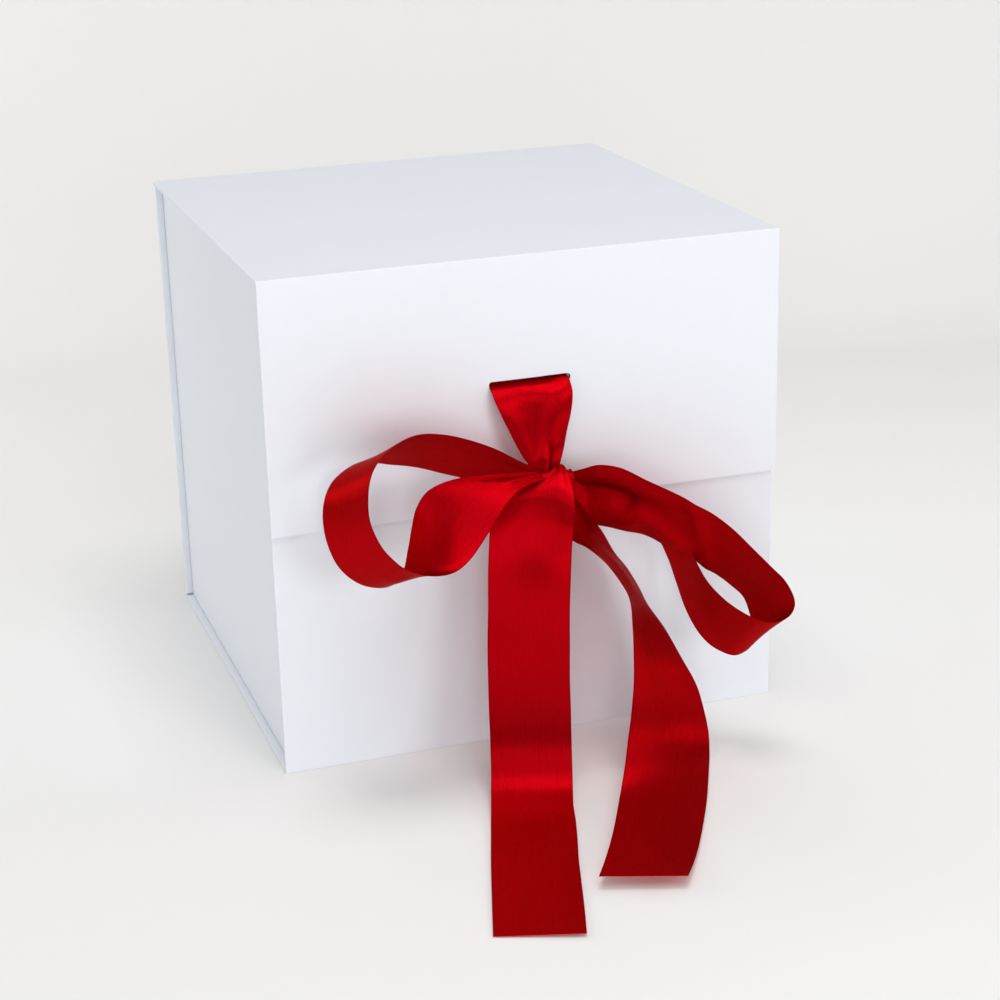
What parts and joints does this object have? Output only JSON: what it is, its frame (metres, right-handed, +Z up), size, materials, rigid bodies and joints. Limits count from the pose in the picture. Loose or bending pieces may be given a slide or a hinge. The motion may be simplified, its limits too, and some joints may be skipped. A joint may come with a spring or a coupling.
{
  "type": "magnetic gift box",
  "caption": "Near-cubic rigid gift box with a hinged lid whose magnetic flap covers half the front, tied with a satin ribbon bow.",
  "frame": {"origin": "centre of the base's underside, the face that the box stands on", "axes": "+Z up; -Y out of the front that the flap covers; +X to the right when the front is faced"},
  "size_m": [0.232, 0.3976, 0.221],
  "materials": {
    "white_paper": "matt laminated white wrapping paper",
    "lining_paper": "uncoated white lining paper",
    "greyboard": "uncoated grey board",
    "plated_steel": "nickel-plated discs",
    "adhesive_tape": "double-sided tape",
    "red_satin": "red polyester satin ribbon"
  },
  "bodies": {
    "tray": {"base_board": "greyboard", "base_wrap": "white_paper", "base_insert": "white_paper", "front_board": "greyboard", "front_wrap": "white_paper", "front_liner": "lining_paper", "front_plate_left": "plated_steel", "front_plate_right": "plated_steel", "back_board": "greyboard", "back_wrap": "white_paper", "back_liner": "lining_paper", "left_wall_board": "greyboard", "left_wall_wrap": "white_paper", "left_wall_liner": "lining_paper", "left_front_tab": "white_paper", "left_front_tab_tape": "adhesive_tape", "left_back_tab": "white_paper", "left_back_tab_tape": "adhesive_tape", "left_base_tab": "white_paper", "left_base_tab_tape": "adhesive_tape", "right_wall_board": "greyboard", "right_wall_wrap": "white_paper", "right_wall_liner": "lining_paper", "right_front_tab": "white_paper", "right_front_tab_tape": "adhesive_tape", "right_back_tab": "white_paper", "right_back_tab_tape": "adhesive_tape", "right_base_tab": "white_paper", "right_base_tab_tape": "adhesive_tape"},
    "lid": {"lid_board": "greyboard", "lid_wrap": "white_paper", "lid_liner": "lining_paper"},
    "flap": {"flap_board": "greyboard", "flap_wrap": "white_paper", "flap_liner": "lining_paper", "flap_magnet_left": "plated_steel", "flap_magnet_right": "plated_steel", "ribbon_upper": "red_satin", "ribbon_under": "red_satin", "ribbon_knot": "red_satin", "ribbon_loop_left": "red_satin", "ribbon_loop_right": "red_satin", "ribbon_tail_front": "red_satin", "ribbon_tail_right": "red_satin"}
  },
  "joints": [
    {"name": "lid_hinge", "type": "hinge", "parent": "tray", "child": "lid", "pos_m": [0, 0.1121, 0.221], "axis": [-1, 0, 0], "range_deg": [0, 180]},
    {"name": "flap_hinge", "type": "hinge", "parent": "lid", "child": "flap", "pos_m": [0, -0.1151, 0.221], "axis": [-1, 0, 0], "range_deg": [0, 90]}
  ]
}
